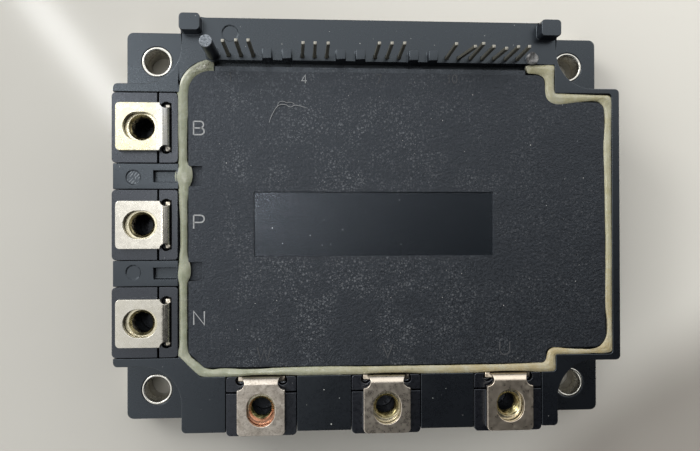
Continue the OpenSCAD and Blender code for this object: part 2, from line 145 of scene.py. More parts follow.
# ---------------------------------------------------------------- materials
class Graph:
    """A procedural material in millimetres of the row frame."""

    def __init__(self, name):
        self.mat = bpy.data.materials.new(name)
        self.mat.use_nodes = True
        self.t = self.mat.node_tree
        self.t.nodes.clear()
        self.out = self.t.nodes.new("ShaderNodeOutputMaterial")
        self.bsdf = self.t.nodes.new("ShaderNodeBsdfPrincipled")
        self.t.links.new(self.bsdf.outputs[0], self.out.inputs[0])
        tc = self.t.nodes.new("ShaderNodeTexCoord")
        sc = self.t.nodes.new("ShaderNodeVectorMath")
        sc.operation = "SCALE"
        sc.inputs["Scale"].default_value = 1000.0
        self.t.links.new(tc.outputs["Object"], sc.inputs[0])
        self.p = sc.outputs[0]
        sep = self.t.nodes.new("ShaderNodeSeparateXYZ")
        self.t.links.new(self.p, sep.inputs[0])
        self.x, self.y, self.z = sep.outputs

    def put(self, sock, v):
        if hasattr(v, "is_output"):
            self.t.links.new(v, sock)
        elif v is not None:
            if hasattr(sock.default_value, "__len__") and not hasattr(v, "__len__"):
                sock.default_value = [v] * len(sock.default_value)
            elif hasattr(v, "__len__") and len(v) == 3 and len(sock.default_value) == 4:
                sock.default_value = (*v, 1.0)
            else:
                sock.default_value = v

    def set(self, **kw):
        names = {"base": "Base Color", "rough": "Roughness", "metal": "Metallic", "spec": "Specular IOR Level",
                 "coat": "Coat Weight", "coat_rough": "Coat Roughness", "normal": "Normal", "alpha": "Alpha",
                 "tint": "Specular Tint", "sss": "Subsurface Weight", "sss_scale": "Subsurface Scale", "trans": "Transmission Weight", "ior": "IOR"}
        for k, v in kw.items():
            self.put(self.bsdf.inputs[names[k]], v)
        return self

    def math(self, op, a, b=0.0, c=0.0, clamp=False):
        n = self.t.nodes.new("ShaderNodeMath")
        n.operation = op
        n.use_clamp = clamp
        self.put(n.inputs[0], a)
        self.put(n.inputs[1], b)
        self.put(n.inputs[2], c)
        return n.outputs[0]

    def noise(self, scale, detail=2.0, rough=0.5, dist=0.0, vec=None):
        n = self.t.nodes.new("ShaderNodeTexNoise")
        self.put(n.inputs["Vector"], vec or self.p)
        n.inputs["Scale"].default_value = scale
        n.inputs["Detail"].default_value = detail
        n.inputs["Roughness"].default_value = rough
        n.inputs["Distortion"].default_value = dist
        return n.outputs["Fac"]

    def remap(self, v, a, b, c=0.0, d=1.0, smooth=False):
        n = self.t.nodes.new("ShaderNodeMapRange")
        n.interpolation_type = "SMOOTHSTEP" if smooth else "LINEAR"
        n.clamp = True
        self.put(n.inputs["Value"], v)
        for k, q in zip(("From Min", "From Max", "To Min", "To Max"), (a, b, c, d)):
            self.put(n.inputs[k], q)
        return n.outputs["Result"]

    def mix(self, fac, a, b):
        n = self.t.nodes.new("ShaderNodeMix")
        n.data_type = "RGBA"
        self.put(n.inputs[0], fac)
        self.put(n.inputs[6], a)
        self.put(n.inputs[7], b)
        return n.outputs[2]

    def band(self, v, lo, hi, soft):
        """1 where lo < v < hi, with soft edges."""
        return self.math("MULTIPLY", self.remap(v, lo - soft, lo + soft, 0, 1, True),
                         self.remap(v, hi - soft, hi + soft, 1, 0, True))

    def specks(self, scale, radius, share, seed=0.0):
        """Small round dots, of which share (0 to 1) of the cells have one."""
        add = self.t.nodes.new("ShaderNodeVectorMath")
        add.operation = "ADD"
        self.put(add.inputs[0], self.p)
        add.inputs[1].default_value = (seed, seed * 1.7, seed * 0.3)
        v = self.t.nodes.new("ShaderNodeTexVoronoi")
        v.feature = "F1"
        self.put(v.inputs["Vector"], add.outputs[0])
        v.inputs["Scale"].default_value = scale
        sep = self.t.nodes.new("ShaderNodeSeparateColor")
        self.t.links.new(v.outputs["Color"], sep.inputs[0])
        dot = self.remap(v.outputs["Distance"], radius * 0.6, radius, 1, 0, True)
        on = self.math("LESS_THAN", sep.outputs[0], share)
        size = self.remap(sep.outputs[1], 0, 1, 0.35, 1.0)
        return self.math("MULTIPLY", self.math("MULTIPLY", dot, on), size)

    def bump(self, height, strength, distance_mm, normal=None):
        n = self.t.nodes.new("ShaderNodeBump")
        n.inputs["Strength"].default_value = strength
        n.inputs["Distance"].default_value = distance_mm * MM
        self.put(n.inputs["Height"], height)
        if normal is not None:
            self.t.links.new(normal, n.inputs["Normal"])
        return n.outputs[0]

    def up(self):
        """How far the surface faces up, from the mesh's own normal."""
        g = self.t.nodes.new("ShaderNodeNewGeometry")
        s = self.t.nodes.new("ShaderNodeSeparateXYZ")
        self.t.links.new(g.outputs["True Normal"], s.inputs[0])
        return s.outputs[2]


def case_plastic():
    g = Graph("case_plastic")
    big = g.noise(0.09, 3, 0.6)
    fine = g.noise(1.4, 4, 0.6)
    base = g.mix(big, (0.0024, 0.0032, 0.0056), (0.0040, 0.0050, 0.0080))
    dust = g.math("MAXIMUM", g.specks(0.42, 0.070, 0.12, 3.0), g.specks(1.3, 0.10, 0.035, 11.0))
    dust = g.math("MULTIPLY", dust, g.remap(g.up(), 0.7, 0.95))
    base = g.mix(g.math("MULTIPLY", dust, 0.8), base, (0.26, 0.26, 0.26))
    # hatched knock-out mark between the first two terminals, rubbed pale
    dx, dy = g.math("SUBTRACT", g.x, -49.3), g.math("SUBTRACT", g.y, 9.75)
    r = g.math("SQRT", g.math("ADD", g.math("MULTIPLY", dx, dx), g.math("MULTIPLY", dy, dy)))
    disc = g.remap(r, 1.30, 1.42, 1, 0)
    lines = g.math("SINE", g.math("MULTIPLY", g.math("ADD", g.math("ADD", g.x, g.math("MULTIPLY", g.y, -0.8)),
                                                      g.math("MULTIPLY", g.noise(1.2, 2), 0.9)), 9.5))
    lines = g.math("MULTIPLY", g.remap(lines, 0.1, 0.8), g.remap(g.noise(1.6, 3), 0.38, 0.58))
    base = g.mix(g.math("MULTIPLY", disc, g.math("MULTIPLY", lines, 0.75)), base, (0.30, 0.31, 0.33))
    # rough grey tops of the guide post
    px, py = g.math("SUBTRACT", g.x, -33.13), g.math("SUBTRACT", g.y, 35.2)
    pr = g.math("SQRT", g.math("ADD", g.math("MULTIPLY", px, px), g.math("MULTIPLY", py, py)))
    post = g.math("MULTIPLY", g.remap(pr, 1.22, 1.32, 1, 0), g.remap(g.z, 31.2, 31.35))
    hatch = g.remap(g.noise(3.4, 4, 0.7, 1.5), 0.42, 0.58)
    base = g.mix(g.math("MULTIPLY", post, g.math("ADD", 0.12, g.math("MULTIPLY", hatch, 0.85))), base, (0.30, 0.32, 0.35))
    # scuffs round the bead's far left corner
    scuff = g.math("MULTIPLY", g.remap(g.noise(2.2, 4, 0.7, 1.2), 0.55, 0.68), g.math("MULTIPLY", g.band(g.x, -43, -38, 1.0), g.band(g.y, 30.5, 36.5, 1.2)))
    base = g.mix(g.math("MULTIPLY", scuff, 0.55), base, (0.16, 0.17, 0.18))
    rough = g.remap(g.math("ADD", g.math("MULTIPLY", big, 0.5), g.math("MULTIPLY", fine, 0.5)), 0.3, 0.7, 0.24, 0.33)
    h = g.math("ADD", g.noise(5.0, 3, 0.6), g.math("MULTIPLY", dust, 0.5))
    h = g.math("ADD", h, g.math("MULTIPLY", post, g.math("MULTIPLY", hatch, 6.0)))
    g.set(base=base, rough=rough, spec=1.0, ior=1.58, tint=(0.80, 0.90, 1.0), normal=g.bump(h, 0.14, 0.02))
    return g.mat


def cover_plastic():
    g = Graph("cover_plastic")
    # smooth field, measured on the CAD's recess
    field = g.math("MULTIPLY", g.band(g.x, -24.7, 25.7, 0.04), g.band(g.y, -6.6, 6.8, 0.04))
    rough_part = g.math("SUBTRACT", 1.0, field)
    big = g.noise(0.06, 3, 0.6)
    grain = g.noise(1.9, 5, 0.66, 0.3)
    base = g.mix(g.remap(grain, 0.38, 0.62), (0.0010, 0.0014, 0.0026), (0.0100, 0.0118, 0.0150))
    base = g.mix(g.math("MULTIPLY", big, 0.3), base, (0.0040, 0.0050, 0.0076))
    # pale specks painted where the moulded texture glints, densest on the left half: painted highlights
    glint_patch = g.remap(g.noise(0.10, 3, 0.6, 0.5), 0.36, 0.60, 0.15, 1.0, True)
    left = g.remap(g.x, -10, 45, 1.0, 0.35, True)
    calm = g.math("MAXIMUM", g.band(g.x, -40, -30, 2.5), g.remap(g.y, 22, 30, 0, 0.6, True))
    glint_patch = g.math("MULTIPLY", g.math("MULTIPLY", glint_patch, left), g.remap(calm, 0, 1, 1.0, 0.35))
    pale = g.math("MULTIPLY", g.specks(1.25, 0.36, 0.75, 5.0), glint_patch)
    painted_glints2 = g.math("MULTIPLY", g.specks(2.0, 0.38, 0.60, 23.0), glint_patch)
    pale = g.math("MAXIMUM", pale, g.math("MULTIPLY", g.specks(3.3, 0.42, 0.70, 31.0), g.math("MULTIPLY", glint_patch, 0.8)))
    motes = g.specks(0.33, 0.050, 0.35, 41.0)
    # painted glints joined with real dust motes
    s = g.math("MAXIMUM", g.math("MULTIPLY", g.math("MAXIMUM", pale, painted_glints2), 0.50), g.math("MULTIPLY", motes, 0.6))
    s = g.math("MULTIPLY", s, g.remap(rough_part, 0, 1, 0.25, 1.0))
    base = g.mix(s, base, (0.24, 0.25, 0.26))
    # lighter patchy strip along the cover's edge by the pin ledge, fading to the right: painted sheen
    strip = g.math("MULTIPLY", g.remap(g.y, 31.75, 31.95), g.remap(g.x, -37, 24, 1.0, 0.45))
    base = g.mix(g.math("MULTIPLY", strip, g.remap(g.noise(0.5, 4, 0.7, 0.6), 0.35, 0.65, 0.12, 0.42)), base, (0.15, 0.17, 0.19))
    # scratches near the far left corner
    sx = g.math("ADD", g.math("MULTIPLY", g.x, 0.75), g.y)
    line = g.band(sx, 6.05, 6.13, 0.04)
    line = g.math("MULTIPLY", line, g.math("MULTIPLY", g.band(g.x, -33.0, -28.6, 0.3), g.band(g.y, 27, 31.4, 0.4)))
    base = g.mix(g.math("MULTIPLY", line, 0.45), base, (0.20, 0.21, 0.22))
    fieldgrain = g.remap(g.noise(3.2, 4, 0.65), 0.40, 0.62)
    base = g.mix(field, base, g.mix(fieldgrain, (0.0020, 0.0040, 0.0064), (0.0046, 0.0076, 0.0112)))
    frough = g.remap(g.math("ADD", g.math("MULTIPLY", g.noise(0.35, 4, 0.6, 1.0), 0.5), g.math("MULTIPLY", fieldgrain, 0.28)), 0.2, 0.6, 0.10, 0.22)
    rough = g.mix(field, g.remap(grain, 0.3, 0.7, 0.34, 0.46), frough)
    h = g.math("MULTIPLY", g.math("ADD", grain, g.math("MULTIPLY", g.noise(5.5, 2), 0.35)), rough_part)
    h = g.math("ADD", h, g.math("MULTIPLY", g.math("MULTIPLY", fieldgrain, field), 0.10))
    g.set(base=base, rough=rough, spec=0.86, ior=1.54, tint=(0.80, 0.88, 1.0), normal=g.bump(h, 1.0, 0.11))
    return g.mat


def holder_plastic():
    g = Graph("holder_plastic")
    big = g.noise(0.2, 3, 0.6)
    base = g.mix(big, (0.0028, 0.0034, 0.0064), (0.0046, 0.0054, 0.0090))
    dust = g.math("MULTIPLY", g.specks(0.5, 0.08, 0.13, 7.0), g.remap(g.up(), 0.7, 0.95))
    base = g.mix(g.math("MULTIPLY", dust, 0.75), base, (0.28, 0.28, 0.28))
    g.set(base=base, rough=g.remap(g.noise(1.2, 3), 0.3, 0.7, 0.24, 0.33), spec=1.0, ior=1.58, tint=(0.84, 0.90, 1.0),
          normal=g.bump(g.noise(5.0, 3), 0.12, 0.02))
    return g.mat


def nickel(name, tint, tint2, rough=0.30, spots=0.25, grainy=0.0, stain=None):
    g = Graph(name)
    blot = g.noise(0.55, 4, 0.65, 0.4)
    base = g.mix(g.remap(blot, 0.35, 0.68), tint, tint2)
    if stain:
        base = g.mix(g.math("MULTIPLY", g.remap(g.noise(0.35, 3, 0.6, 0.8), 0.45, 0.62), 0.55), base, stain[0])
        base = g.mix(g.math("MULTIPLY", g.remap(g.x, stain[2], stain[3], 0, 1, True), 0.6), base, stain[1])
    pits = g.remap(g.noise(3.2, 3, 0.6), 0.60, 0.72, 0, 1, True)
    base = g.mix(g.math("MULTIPLY", pits, spots), base, (0.22, 0.19, 0.13))
    if grainy:
        dark = g.remap(g.noise(2.6, 4, 0.7), 0.46, 0.64, 0, 1, True)
        base = g.mix(g.math("MULTIPLY", dark, grainy), base, (0.30, 0.26, 0.21))
    # painted shade: the strip below the bend is darker and browner
    low = g.remap(g.z, 21.5, 22.1, 1, 0, True)
    base = g.mix(g.math("MULTIPLY", low, 0.45), base, (0.34, 0.29, 0.21))
    rough = g.remap(g.noise(1.1, 4, 0.6), 0.3, 0.7, rough - 0.05, rough + 0.08)
    h = g.math("ADD", g.noise(4.5, 4, 0.65), g.math("MULTIPLY", g.noise(0.4, 2), 0.8))
    g.set(base=base, rough=rough, metal=1.0, normal=g.bump(h, 0.16 + 0.3 * grainy, 0.03))
    return g.mat


def nut_metal():
    g = Graph("nut_metal")
    f = g.noise(1.3, 4, 0.6)
    bore = g.mix(g.remap(f, 0.3, 0.7), (0.24, 0.215, 0.12), (0.40, 0.36, 0.21))
    cone = g.mix(f, (0.30, 0.27, 0.17), (0.44, 0.40, 0.26))
    top = g.mix(f, (0.66, 0.62, 0.48), (0.78, 0.74, 0.60))
    base = g.mix(g.remap(g.z, 21.15, 21.3), bore, cone)
    base = g.mix(g.remap(g.z, 21.72, 21.79), base, top)
    stain = g.remap(g.noise(0.8, 3, 0.6, 0.8), 0.56, 0.68, 0, 1, True)
    # coppery where the plating has gone, at the first front terminal
    here = g.math("MULTIPLY", g.band(g.x, -26, -20.5, 0.5), g.band(g.y, -42, -38.3, 0.4))
    base = g.mix(g.math("MULTIPLY", here, g.remap(g.z, 20.8, 21.3, 0, 0.8)), base, (0.74, 0.36, 0.24))
    base = g.mix(g.math("MULTIPLY", g.math("SUBTRACT", here, 0.0), g.remap(g.z, 20.7, 20.4, 0, 0.5)), base, (0.34, 0.40, 0.20))
    base = g.mix(g.math("MULTIPLY", stain, 0.35), base, (0.34, 0.20, 0.10))
    # painted shade deep in the left bores, darker with depth
    painted_bore_shade = g.math("MULTIPLY", g.remap(g.z, 21.2, 20.5, 0, 1, True), g.remap(g.x, -40, -42))
    base = g.mix(g.math("MULTIPLY", painted_bore_shade, 0.8), base, (0.085, 0.085, 0.10))
    g.set(base=base, rough=g.remap(f, 0.3, 0.7, 0.20, 0.32), metal=1.0, normal=g.bump(g.noise(5, 3), 0.12, 0.02))
    return g.mat


def bush_steel():
    g = Graph("bush_steel")
    f = g.noise(1.0, 3, 0.6)
    base = g.mix(g.remap(f, 0.3, 0.7), (0.62, 0.61, 0.57), (0.74, 0.73, 0.69))
    low = g.remap(g.z, 3.2, 7.0, 1, 0, True)
    base = g.mix(g.math("MULTIPLY", low, 0.55), base, (0.42, 0.37, 0.24))
    g.set(base=base, rough=g.remap(g.noise(2.5, 3), 0.3, 0.7, 0.20, 0.32), metal=1.0, normal=g.bump(g.noise(5, 3), 0.15, 0.02))
    return g.mat


def plate_metal():
    g = Graph("plate_metal")
    f = g.noise(0.25, 5, 0.65, 0.5)
    base = g.mix(g.remap(f, 0.3, 0.7), (0.52, 0.50, 0.45), (0.64, 0.62, 0.57))
    stretch = g.t.nodes.new("ShaderNodeVectorMath")
    stretch.operation = "MULTIPLY"
    g.put(stretch.inputs[0], g.p)
    stretch.inputs[1].default_value = (0.15, 6.0, 6.0)
    brush = g.noise(1.0, 3, 0.6, 0.0, stretch.outputs[0])
    base = g.mix(g.math("MULTIPLY", brush, 0.35), base, (0.46, 0.43, 0.36))
    g.set(base=base, rough=g.remap(brush, 0.3, 0.7, 0.26, 0.42), metal=1.0, normal=g.bump(brush, 0.12, 0.02))
    return g.mat


def pin_tin():
    g = Graph("pin_tin")
    f = g.noise(1.6, 4, 0.6)
    # painted highlight on up-facing faces and painted shade on the pin sides
    bright = g.mix(f, (0.30, 0.29, 0.26), (0.42, 0.41, 0.37))
    dull = g.mix(g.noise(2.4, 3, 0.6), (0.13, 0.125, 0.10), (0.24, 0.23, 0.19))
    painted_top_light = g.remap(g.up(), 0.25, 0.75, 0, 1, True)
    g.set(base=g.mix(painted_top_light, dull, bright), rough=g.remap(f, 0.3, 0.7, 0.32, 0.46), metal=0.5,
          normal=g.bump(g.noise(6, 3), 0.2, 0.02))
    return g.mat


def adhesive():
    g = Graph("adhesive")
    f = g.noise(0.32, 4, 0.6, 0.6)
    left = (0.29, 0.31, 0.23)
    warm = (0.38, 0.36, 0.24)
    tan = (0.38, 0.32, 0.19)
    side = g.remap(g.x, -30, 40, 0, 1, True)
    low = g.math("MULTIPLY", side, g.remap(g.y, 0, -26, 0, 1, True))
    base = g.mix(side, left, warm)
    base = g.mix(low, base, tan)
    base = g.mix(g.remap(f, 0.35, 0.7, 0, 0.55), base, (0.46, 0.46, 0.39))
    dirt = g.remap(g.noise(0.9, 4, 0.7, 0.8), 0.58, 0.74, 0, 1, True)
    base = g.mix(g.math("MULTIPLY", dirt, 0.35), base, (0.20, 0.19, 0.13))
    corner = g.math("MULTIPLY", g.band(g.x, -37.6, -33.4, 1.0), g.band(g.y, 31.2, 36.0, 0.9))
    streaks = g.remap(g.noise(1.5, 5, 0.75, 1.5), 0.46, 0.60, 0, 1, True)
    base = g.mix(g.math("MULTIPLY", corner, g.math("MULTIPLY", streaks, 0.85)), base, (0.10, 0.09, 0.065))
    rough = g.remap(g.noise(0.8, 3), 0.3, 0.7, 0.16, 0.34)
    g.set(base=base, rough=rough, spec=0.6, sss=0.12, sss_scale=0.0012, coat=0.25, coat_rough=0.12,
          normal=g.bump(g.noise(1.1, 4, 0.6), 0.28, 0.12))
    g.bsdf.inputs["Subsurface Radius"].default_value = (1.0, 0.8, 0.4)
    return g.mat


def simple(name, a, b, rough=0.5, metal=0.0, scale=1.0, bump=0.1, spec=0.5, **more):
    g = Graph(name)
    f = g.noise(scale, 4, 0.6, 0.3)
    g.set(base=g.mix(g.remap(f, 0.3, 0.7), a, b), metal=metal, spec=spec,
          rough=g.remap(g.noise(scale * 2.1, 3), 0.3, 0.7, rough - 0.06, rough + 0.08),
          normal=g.bump(g.noise(scale * 4, 3), bump, 0.03), **more)
    return g.mat


M = {
    "case": case_plastic(),
    "cover": cover_plastic(),
    "holder": holder_plastic(),
    "term_b": nickel("terminal_nickel_b", (0.58, 0.555, 0.43), (0.64, 0.62, 0.53), 0.27, 0.5, 0.0,
                     ((0.72, 0.66, 0.42), (0.58, 0.60, 0.66), -45.5, -43.0)),
    "term_p": nickel("terminal_nickel_p", (0.64, 0.62, 0.57), (0.68, 0.66, 0.61), 0.25, 0.10),
    "term_n": nickel("terminal_nickel_n", (0.62, 0.60, 0.54), (0.66, 0.64, 0.59), 0.25, 0.15),
    "term_w": nickel("terminal_nickel_w", (0.60, 0.55, 0.49), (0.76, 0.71, 0.65), 0.33, 0.5, 0.45),
    "term_v": nickel("terminal_nickel_v", (0.66, 0.60, 0.53), (0.74, 0.68, 0.60), 0.28, 0.12, 0.12),
    "term_u": nickel("terminal_nickel_u", (0.70, 0.62, 0.53), (0.78, 0.70, 0.60), 0.30, 0.12, 0.06),
    # painted highlights: the moulded marks are cover plastic, painted pale on the left letters and the 4, fainter on
    # the rest
    "mark_left": simple("mark_pale", (0.30, 0.31, 0.32), (0.44, 0.45, 0.46), 0.5, scale=3.0),
    "mark_front": simple("mark_dark", (0.050, 0.053, 0.058), (0.095, 0.10, 0.108), 0.5, scale=3.0),
    "fibre": simple("hair_fibre", (0.26, 0.27, 0.28), (0.42, 0.43, 0.44), 0.4, scale=3.0),
    "crumb": simple("dust_crumbs", (0.42, 0.43, 0.42), (0.62, 0.62, 0.60), 0.8, scale=1.5),
    "torn": simple("torn_plastic", (0.03, 0.03, 0.033), (0.34, 0.34, 0.34), 0.5, scale=1.3, bump=0.5),
    "link": simple("link_pin_tin", (0.60, 0.58, 0.52), (0.72, 0.70, 0.64), 0.32, metal=1.0, scale=2.0),
    "nut": nut_metal(),
    "bush": bush_steel(),
    "plate": plate_metal(),
    "pin": pin_tin(),
    "bead": adhesive(),
    "sealant": simple("white_silicone", (0.62, 0.62, 0.58), (0.74, 0.74, 0.70), 0.4, scale=0.6),
    "board": simple("board_laminate", (0.02, 0.10, 0.045), (0.03, 0.15, 0.07), 0.4, scale=1.2),
    "ic": simple("ic_plastic", (0.012, 0.012, 0.013), (0.022, 0.022, 0.024), 0.55, scale=2.0),
    "smallpart": simple("small_ceramic", (0.42, 0.31, 0.18), (0.56, 0.43, 0.27), 0.5, scale=2.0),
    "solder": simple("solder", (0.42, 0.42, 0.43), (0.56, 0.56, 0.57), 0.35, metal=1.0, scale=1.5),
    "copper": simple("copper", (0.62, 0.30, 0.16), (0.76, 0.42, 0.25), 0.32, metal=1.0, scale=0.9),
    "alumina": simple("alumina", (0.80, 0.80, 0.77), (0.88, 0.88, 0.86), 0.55, scale=1.4),
    "silicon": simple("silicon", (0.20, 0.22, 0.26), (0.30, 0.32, 0.37), 0.2, scale=0.8, spec=0.9),
    "wire": simple("wire_aluminium", (0.74, 0.74, 0.75), (0.84, 0.84, 0.85), 0.3, metal=1.0, scale=2.0),
    "gel": simple("silicone_gel", (0.72, 0.75, 0.72), (0.80, 0.82, 0.80), 0.12, scale=0.3, alpha=0.45),
}


def dress(ob, key):
    ob.data.materials.clear()
    ob.data.materials.append(M[key])


def place(ob, key, slot, *replaced):
    dress(ob, key)
    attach(ob, "root")
    if replaced:
        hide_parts(*replaced)
    return ob


# ---------------------------------------------------------------- case and cover
bm = cad_copy("case_frame", 0.02)
soften(bm, 0.16, 2, 35.0, lambda e: max(v.co.z for v in e.verts) > 6.9 * MM and not (
    max(v.co.z for v in e.verts) < 21.0 * MM and abs(e.verts[0].co.x) < 0.0402 and e.verts[0].co.y > -0.0316))
place(to_object(bm, "case_body"), "case", "case_plastic", "case_frame")

bm = cad_copy("cover")
soften(bm, 0.10, 2)
place(to_object(bm, "cover_plate"), "cover", "cover_plastic", "cover")

bm = cad_copy("nut_holders")
soften(bm, 0.14, 2, 40.0)
place(to_object(bm, "terminal_holders"), "holder", "holder_plastic", "nut_holders")

bm = cad_copy("terminal_blocks")
soften(bm, 0.14, 2, 40.0)
place(to_object(bm, "terminal_inner_blocks"), "holder", "holder_plastic", "terminal_blocks")

bm = cad_copy("base_plate")
soften(bm, 0.25, 2, 40.0)
place(to_object(bm, "base_slab"), "plate", "nickel_plate", "base_plate")

# ---------------------------------------------------------------- terminals and nuts
# name: hole centre, and the way the leg lies from it
LEFT, FRONT = (1, 0), (0, 1)
TERMINALS = {"b": (-47.5, 20, LEFT, 5.7), "p": (-47.5, 0, LEFT, 5.7), "n": (-47.5, -20, LEFT, 5.7),
             "w": (-23.25, -38, FRONT, 6.55), "v": (2.75, -38, FRONT, 6.55), "u": (28.75, -38, FRONT, 6.55)}


def local(co, t):
    """Terminal coordinates in mm: along to the leg, across, up."""
    x, y, d, _ = TERMINALS[t]
    dx, dy = co.x * 1000 - x, co.y * 1000 - y
    return dx * d[0] + dy * d[1], -dx * d[1] + dy * d[0], co.z * 1000


for t, (tx, ty, way, inner) in TERMINALS.items():
    bm = cad_copy("terminal_" + t)

    def shoulder(e):
        p = [local(v.co, t) for v in e.verts]
        return all(q[0] > inner - 1.3 and abs(q[1]) > 3.4 and q[2] > 20.0 for q in p) and (
            21.2 < max(q[2] for q in p) < 21.4) and not all(abs(q[1]) < 4.3 for q in p)

    soften(bm, 0.34, 4, 40.0, shoulder)
    soften(bm, 0.13, 3, 40.0, lambda e: all(local(v.co, t)[2] > 21.5 for v in e.verts))
    place(to_object(bm, "terminal_strip_" + t), "term_" + t, "terminal_nickel", "terminal_" + t)


def nut(x, y, way, seed):
    """Hexagon nut with a helical thread, 4 high, top at 21.8."""
    n, top, low, pitch = 60, 21.8, 17.8, 0.8
    turn = 0.0 if way == LEFT else math.pi / 2
    zs = [low + (top - low) * k / 44 for k in range(45)]
    rows = []
    for z in zs:
        row = []
        for j in range(n):
            a = 2 * math.pi * j / n
            f = ((z - top) / pitch + a / (2 * math.pi) + seed) % 1.0
            tri = 1 - abs(2 * f - 1)
            r = 2.12 + 0.36 * min(1.0, max(0.0, 1.35 * tri - 0.15))
            r = max(r, 2.1 + z - (top - 0.55), 2.1 + (low + 0.55) - z)
            row.append((r, a, z))
        rows.append(row)
    hexa = []
    for j in range(n):
        a = 2 * math.pi * j / n
        c = (a - math.radians(30) + math.radians(30)) % math.radians(60) - math.radians(30)
        hexa.append(4.0 / math.cos(c))
    def ring(f, z):
        return [(f(j), 2 * math.pi * j / n, z) for j in range(n)]
    rows.append(ring(lambda j: 2.74, top))
    rows.append(ring(lambda j: 3.3, top))
    rows.append(ring(lambda j: min(hexa[j], 3.95), top))
    rows.append(ring(lambda j: hexa[j], top - max(0.0, 0.05)))
    rows.append(ring(lambda j: hexa[j], low + 0.3))
    rows.append(ring(lambda j: min(hexa[j], 3.95), low))
    out = []
    for row in rows:
        out.append([(x + r * math.cos(a + turn), y + r * math.sin(a + turn), z) for r, a, z in row])
    return grid_mesh(out, "nut", close_u=True, close_v=True)


rnd = random.Random(7)
nuts = join([nut(t[0], t[1], t[2], rnd.random()) for t in TERMINALS.values()])
place(to_object(nuts, "threaded_nuts", sharp=32.0, weighted=False), "nut", "nut_metal", "terminal_nuts")

# ---------------------------------------------------------------- bushes
prof = [(2.76, 3.5), (2.75, 5.4), (2.75, 7.45), (2.79, 7.6), (2.88, 7.72), (3.0, 7.79), (3.2, 7.8), (3.34, 7.76),
        (3.43, 7.66), (3.45, 7.5), (3.45, 3.55), (3.4, 3.5)]
bushes = join([grid_mesh(lathe(prof, sx * 47.5, sy * 37.0, 96), "b", close_u=True, close_v=True)
               for sx in (-1, 1) for sy in (-1, 1)])
place(to_object(bushes, "rolled_bushes", sharp=50.0, weighted=False), "bush", "bush_steel", "mounting_bushes")

# ---------------------------------------------------------------- control pins
for i in (1, 2, 3, 4):
    bm = cad_copy("control_pins_%d" % i, 0.01)
    soften(bm, 0.09, 2, 40.0, lambda e: max(v.co.z for v in e.verts) > 30.9 * MM)
    place(to_object(bm, "pins_%d" % i), "pin", "pin_tin", "control_pins_%d" % i)
